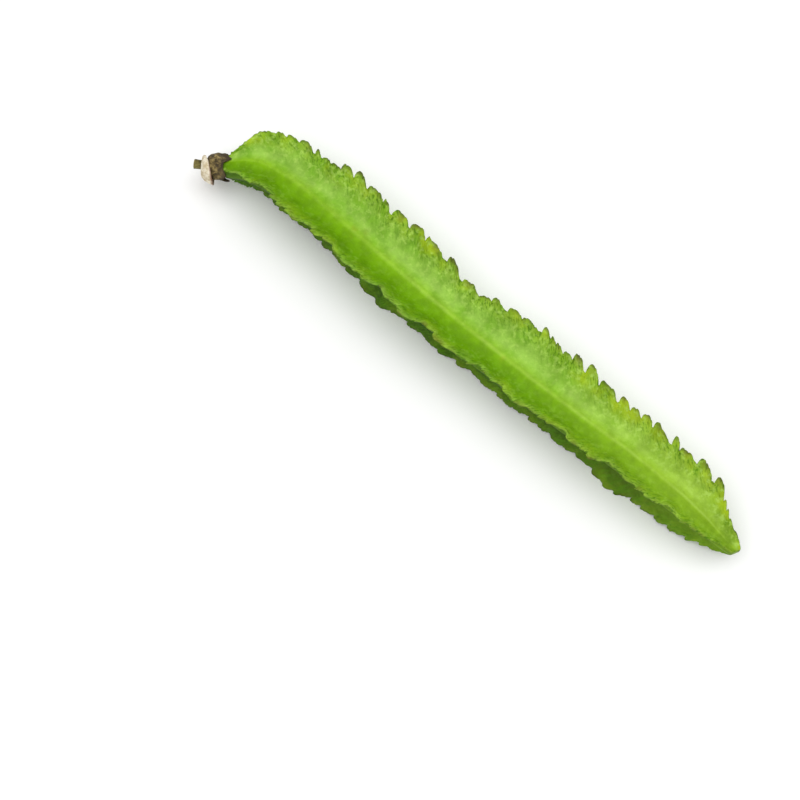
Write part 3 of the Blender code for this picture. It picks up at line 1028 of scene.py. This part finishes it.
        tooth_height, profile = self.tooth_outline(index, tooth)
        tooth_share = np.clip((share - self.tooth_foot) / (1 - self.tooth_foot), 0.0, 1.0)
        stands = tooth_height * profile * tooth_share
        out += stands + self.foot_drop(index, x) * tooth_share
        thorns = self.thorns(index, x, edge_x, share)
        out += thorns
        x = x - self.tooth_hook * stands - thorns * self.near_stem(x)

        turn = np.radians(self.station(core_x, Column.TURN.value))
        angle = math.radians(wing.angle)
        sideways_out = out * math.cos(angle) - offset * math.sin(angle)
        upwards = out * math.sin(angle) + offset * math.cos(angle)
        closing = np.clip(1 - (self.length - core_x) / self.beak_rounding, 0.0, 1.0)
        narrowed = np.sqrt(1 - self.beak_narrowing * closing ** 2)
        sideways_out, upwards = sideways_out * narrowed, upwards * narrowed
        placed = self.centre(x)
        placed += np.column_stack((-np.sin(turn) * sideways_out, np.cos(turn) * sideways_out, upwards))
        slant = self.beak_slant * np.clip(1 - (self.length - x) / self.beak_slant_length, 0.0, 1.0)
        placed[:, 0] += slant * sideways_out

        tone, tip, rim = self.paint_values(index, way, share, x, tooth_height, profile)
        return placed, (tone, vein, tip, rim)

    def tooth_outline(self, index: int, tooth: np.ndarray) -> tuple[np.ndarray, np.ndarray]:
        """The teeth of a wing, drawn so that no two have quite the same outline.

        Args:
            index: the wing's number.
            tooth: for each point, its distance along the pod counted in teeth.

        Returns:
            The height of each point's tooth, and the share of that height which stands there.
        """
        heights = self.teeth[index][1]
        number = np.minimum(tooth.astype(int), len(heights) - 2)
        draw = random.Random(Seeding.TOOTH_SHAPES.value + self.wings[index].seed)
        falls = np.array([draw.uniform(*self.tooth_falls) for _ in heights])
        ends = np.array([draw.uniform(*self.tooth_ends) for _ in heights])
        return heights[number], self.lobe(tooth - number, falls[number], ends[number])

    def thorns(self, index: int, x: np.ndarray, edge_x: np.ndarray, share: np.ndarray) -> np.ndarray:
        """How far a wing's small notches and thorns stand out, counted round its end as well as along it.

        Args:
            index: the wing's number.
            x: for each point, its distance from the neck's end.
            edge_x: the distance of the wing's edge beside it.
            share: its share of the way to that edge.

        Returns:
            The distance, in millimetres.
        """
        rounding = self.station(np.minimum(edge_x, self.stem_fade), Column.REACH.value + index)
        standing = self.denticles(edge_x + rounding, self.wings[index].seed)
        standing = standing * np.clip((share - (1 - self.thorn_rise)) / self.thorn_rise, 0.0, 1.0)
        return standing * (self.fade(x) ** self.denticle_fading * (1 + self.near_stem(x)))

    def paint_values(self, index: int, way: Side, share: np.ndarray, x: np.ndarray, tooth_height: np.ndarray,
                     profile: np.ndarray) -> tuple[np.ndarray, np.ndarray, np.ndarray]:
        """What the finish reads of one face of one wing.

        Args:
            index: the wing's number.
            way: which of its faces.
            share: for each point, its share of the way to the wing's edge.
            x: its distance from the neck's end.
            tooth_height: the height of its tooth.
            profile: the share of that height which stands there.

        Returns:
            The painted lighting, how brown the tooth's tip is, and how dark the rim is.
        """
        wing = self.wings[index]
        neighbour = self.wings[(index + way.value) % len(self.wings)]
        # Painted light and shade: each face's painted lighting blends into its neighbour's near the seam.
        middle_painted_lighting = (wing.tone(way) + neighbour.tone(Side(-way.value))) / 2
        tone = middle_painted_lighting + (wing.tone(way) - middle_painted_lighting) * smoothstep(0.0, self.painted_lighting_blend, share)
        # Painted shade eases towards the beak, so the lower faces there are painted a lighter green.
        shade_faded = smoothstep(*(self.length - away for away in self.painted_shade_fade_from_beak), x)
        tone = np.where(tone < 0, tone * (1 - self.painted_shade_fading * shade_faded), tone)
        tip = profile * np.clip(tooth_height / self.tip_height, self.least_tip, 1.0)
        tip = tip * smoothstep(self.tip_from, 1.0, share)
        tip = np.maximum(tip, smoothstep(self.length - self.beak_browning, self.length, x))
        rim = wing.rim_tone * (self.least_rim + (1 - self.least_rim) * profile)
        return tone, tip, rim * smoothstep(*self.rim_from, share)

    def foot_drop(self, index: int, x: np.ndarray) -> np.ndarray:
        """How much farther a lower wing reaches where the pod stands on it.

        Args:
            index: the wing's number.
            x: distances from the neck's end, in millimetres.

        Returns:
            The distance, in millimetres.
        """
        total = np.zeros_like(x)
        for number, middle, drop in self.feet:
            if number == index:
                total += drop * np.exp(-(((x - middle) / self.foot_spread) ** 2))
        return total

    def stem_place(self) -> Matrix:
        """Where the neck ends and which way it points, for the pieces that sit on it.

        Returns:
            The place, in metres, with its x axis along the neck.
        """
        at = Vector(self.centre(np.array([0.0]))[0]) * MM
        turn = math.radians(self.stations[0][Column.TURN.value])
        return Matrix.Translation(at) @ Matrix.Rotation(turn, 4, "Z")

    def build(self) -> None:
        """Make the pod and dress it."""
        place_piece(self.make_mesh(), PodFinish().material(), "pod")


@dataclass
class Calyx:
    """The dried cup round the neck, with its five lobes."""

    profile: tuple[tuple[float, float], ...] = (
        (-3.6, 0.4), (-3.6, 1.9), (-3.4, 2.9), (-2.3, 4.0), (-0.4, 4.6), (1.5, 4.5), (2.6, 4.7),
    )
    inside: tuple[tuple[float, float], ...] = ((2.5, 4.1), (1.2, 3.8), (-0.5, 3.6), (-0.5, 0.4))
    lobes: tuple[tuple[float, float, float], ...] = (
        (70.0, 2.6, -0.2), (150.0, 1.4, 0.9), (215.0, 2.2, 0.1), (280.0, 1.8, 0.5), (345.0, 1.2, 0.8),
    )
    lobe_width: float = 26.0
    lobe_rounding: float = 1.2
    lobe_root: float = 3.4
    lobe_bending: float = 1.6
    flare_bending: int = 2
    around: int = 150
    rings: int = 60
    wrinkle: float = 0.14
    wrinkle_scales: tuple[float, float] = (0.5, 3.0)
    broad_wrinkles: float = 2.0
    fine_wrinkles: float = 2.3
    wrinkles_full: float = 2.0

    def lobe_at(self, degrees: float) -> tuple[float, float]:
        """How far the rim reaches over the cup at an angle round it, and how far it turns outwards there.

        Args:
            degrees: the angle.

        Returns:
            Both distances, in millimetres.
        """
        longer, outward = 0.0, 0.0
        for middle, length, flare in self.lobes:
            away = abs((degrees - middle + 180) % 360 - 180) / self.lobe_width
            if away < 1:
                longer += length * (1 - away ** self.lobe_rounding)
                outward += flare * (1 - away)
        return longer, outward

    def wave(self, x: float, radius: float, angle: float) -> float:
        """How far the wrinkles move a point of the cup outwards.

        Args:
            x: the point's distance along the neck.
            radius: its distance from the middle.
            angle: its angle round the cup.

        Returns:
            The distance, in millimetres.
        """
        lengthwise, crosswise = self.wrinkle_scales
        place = Vector((x * lengthwise, math.cos(angle) * crosswise, math.sin(angle) * crosswise))
        height = self.broad_wrinkles * noise.noise(place) + noise.noise(place * self.fine_wrinkles)
        return height * self.wrinkle * min(1.0, radius / self.wrinkles_full)

    def build(self, place: Matrix) -> None:
        """Make the calyx round the neck and dress it.

        Args:
            place: where the neck ends and which way it points.
        """
        mesh, ring, spot = closed_tube("dried_calyx_cup", self.around, self.rings)
        outline = np.array([*self.profile, *self.inside])
        steps = np.concatenate(([0.0], np.cumsum(np.hypot(*np.diff(outline, axis=0).T))))
        rim = (steps[len(self.profile) - 1] + steps[len(self.profile)]) / 2
        along = ring / self.rings * steps[-1]
        x = np.interp(along, steps, outline[:, 0])
        radius = np.interp(along, steps, outline[:, 1])
        towards_rim = np.clip(1 - np.abs(along - rim) / self.lobe_root, 0.0, 1.0)
        points = np.empty((len(ring), 3))
        for i, (column, at) in enumerate(zip(spot, towards_rim)):
            degrees = 360 * column / self.around
            longer, outward = self.lobe_at(degrees)
            angle = math.radians(degrees)
            out = radius[i] + outward * at ** self.flare_bending + self.wave(x[i], radius[i], angle)
            points[i] = (x[i] + longer * at ** self.lobe_bending, out * math.cos(angle),
                         out * math.sin(angle))
        set_along_neck(mesh, points, place)
        face_outwards(mesh)
        store(mesh, "along", np.clip(along / rim, 0.0, 1.0))
        store(mesh, "around", spot / self.around * 2 * math.pi)
        place_piece(mesh, CALYX_FINISH.material(), "calyx")


@dataclass
class Bract:
    """The papery bract that cups the calyx's foot."""

    profile: tuple[tuple[float, float], ...] = (
        (-5.0, 2.2), (-4.7, 4.0), (-3.6, 5.2), (-2.2, 5.9), (-0.6, 6.2),
    )
    from_degrees: float = 62.0
    to_degrees: float = 330.0
    narrowing: float = 0.85
    taper: float = 2.0
    thickness: float = 0.4
    steps: int = 120
    rows: int = 22
    crinkle: float = 0.16
    crinkle_scales: tuple[float, float] = (5.0, 1.5)
    crinkle_layer: float = 0.3
    side_edge: int = 8

    def build(self, place: Matrix) -> None:
        """Make the bract at the calyx's foot and dress it.

        Args:
            place: where the neck ends and which way it points.
        """
        bm = bmesh.new()
        bmesh.ops.create_grid(bm, x_segments=self.steps, y_segments=self.rows, size=0.5)
        mesh = keep_mesh(bm, "papery_bract_sheet")
        flat = read_points(mesh)
        share, row = flat[:, 0] + 0.5, flat[:, 1] + 0.5
        rows = np.linspace(0, 1, len(self.profile))
        xs, radii = zip(*self.profile)
        narrowing = 1 - self.narrowing * np.abs(2 * share - 1) ** self.taper * row
        x = xs[0] + (np.interp(row, rows, xs) - xs[0]) * narrowing
        radius = radii[0] + (np.interp(row, rows, radii) - radii[0]) * narrowing
        angle = np.radians(self.from_degrees + (self.to_degrees - self.from_degrees) * share)
        places = np.column_stack((angle, row)) * self.crinkle_scales
        crinkle = [noise.noise(Vector((*place_on_sheet, self.crinkle_layer))) for place_on_sheet in places]
        radius = radius + self.crinkle * np.array(crinkle) * row
        points = np.column_stack((x, radius * np.cos(angle), radius * np.sin(angle)))
        set_along_neck(mesh, points, place)
        mesh.shade_smooth()
        store(mesh, "along", np.maximum(row, np.abs(2 * share - 1) ** self.side_edge))
        store(mesh, "around", angle)
        piece = place_piece(mesh, BRACT_FINISH.material(), "bract")
        sheet = piece.modifiers.new("thickness", "SOLIDIFY")
        sheet.thickness = self.thickness * MM
        sheet.offset = 0.0


@dataclass
class Stalk:
    """The stub of the stalk, with its pale cut end."""

    radius: float = 1.5
    flare: float = 1.12
    start: float = -3.9
    length: float = 4.0
    around: int = 64
    rings: int = 40
    ribs: int = 9
    rib_height: float = 0.07
    rib_twist: float = 2.0
    cut_from: float = 0.94
    cut_length: float = 0.07
    cut_rounding: float = 0.12

    def build(self, place: Matrix) -> None:
        """Make the stalk at the calyx's foot and dress it.

        Args:
            place: where the neck ends and which way it points.
        """
        mesh, ring, spot = closed_tube("stalk_stub", self.around, self.rings)
        share = ring / self.rings
        angle = spot / self.around * 2 * math.pi
        widening = 1 + (self.flare - 1) * share
        cut = np.clip((share - self.cut_from) / self.cut_length, 0.0, 1.0)
        rounded = np.sqrt(1 - cut ** 2) * self.cut_rounding + (1 - self.cut_rounding)
        radius = self.radius * widening * rounded
        radius = radius + self.rib_height * (np.cos(self.ribs * angle + self.rib_twist * share) - 1)
        x = self.start - self.length * share
        points = np.column_stack((x, radius * np.cos(angle), radius * np.sin(angle)))
        set_along_neck(mesh, points, place)
        face_outwards(mesh)
        store(mesh, "along", share)
        store(mesh, "around", angle)
        place_piece(mesh, STALK_FINISH.material(), "stalk")


@dataclass(frozen=True)
class Lamp:
    """A square soft light: where it hangs in metres, the length of its side, and its power in watts."""

    name: str
    place: tuple[float, float, float]
    size: float
    power: float


@dataclass
class Studio:
    """A pale floor, soft lights and the camera."""

    azimuth: float = 38.265
    elevation: float = 70.0
    distance: float = 0.64385
    target: tuple[float, float, float] = (-0.00334, -0.03459, 0.010)
    lens: float = 90.0
    nearest: float = 0.01
    floor_colour: Colour = (0.96, 0.96, 0.96)
    floor_size: float = 6.0
    floor_gap: float = 0.1 * MM
    floor_roughness: float = 0.9
    lamps: tuple[Lamp, ...] = (
        Lamp("key_light", (-0.04, -0.12, 0.9), 1.1, 6.8), Lamp("fill_light", (0.35, 0.5, 0.7), 0.6, 1.5),
    )
    sky: Colour = (1.0, 1.0, 1.0)
    sky_strength: float = 0.5
    colours_shown: str = "Standard"

    def camera(self) -> None:
        """Set the camera at the photograph's angle."""
        data = bpy.data.cameras.new("camera")
        data.lens = self.lens
        data.clip_start = self.nearest
        camera = add_object("camera", data)
        azimuth, elevation = math.radians(self.azimuth), math.radians(self.elevation)
        back = Vector((math.sin(azimuth) * math.cos(elevation), -math.cos(azimuth) * math.cos(elevation),
                       math.sin(elevation)))
        camera.location = Vector(self.target) + back * self.distance
        camera.rotation_euler = Euler((math.pi / 2 - elevation, 0.0, azimuth))
        bpy.context.scene.camera = camera

    def floor(self) -> None:
        """Lay the floor just under the pod's feet."""
        bm = bmesh.new()
        bmesh.ops.create_grid(bm, x_segments=1, y_segments=1, size=self.floor_size / 2)
        bmesh.ops.translate(bm, verts=bm.verts, vec=(0.0, 0.0, -self.floor_gap))
        mesh = keep_mesh(bm, "floor")
        shader = Shader("floor_white", self.floor_roughness)
        shader.paint(self.floor_colour)
        mesh.materials.append(shader.material)
        floor = add_object("floor", mesh)

    def hang(self, lamp: Lamp) -> None:
        """Hang a light that shines on the pod.

        Args:
            lamp: where it hangs, and how large and strong it is.
        """
        data = bpy.data.lights.new(lamp.name, "AREA")
        data.size = lamp.size
        data.energy = lamp.power
        light = add_object(lamp.name, data)
        light.location = lamp.place
        light.rotation_euler = (-Vector(lamp.place)).to_track_quat("-Z", "Y").to_euler()

    def build(self) -> None:
        """Set up the studio."""
        self.camera()
        self.floor()
        for lamp in self.lamps:
            self.hang(lamp)
        world = bpy.data.worlds.new("pale_sky")
        world.use_nodes = True
        background = world.node_tree.nodes["Background"]
        background.inputs["Color"].default_value = (*self.sky, 1.0)
        background.inputs["Strength"].default_value = self.sky_strength
        bpy.context.scene.world = world
        bpy.context.scene.view_settings.view_transform = self.colours_shown


def main() -> None:
    """Build the studio and every piece."""
    logging.basicConfig(level=logging.INFO, format="%(message)s")
    Studio().build()
    pod = Pod()
    pod.build()
    stem = pod.stem_place()
    Calyx().build(stem)
    Bract().build(stem)
    Stalk().build(stem)
    bpy.context.view_layer.update()


if __name__ == "__main__":
    main()
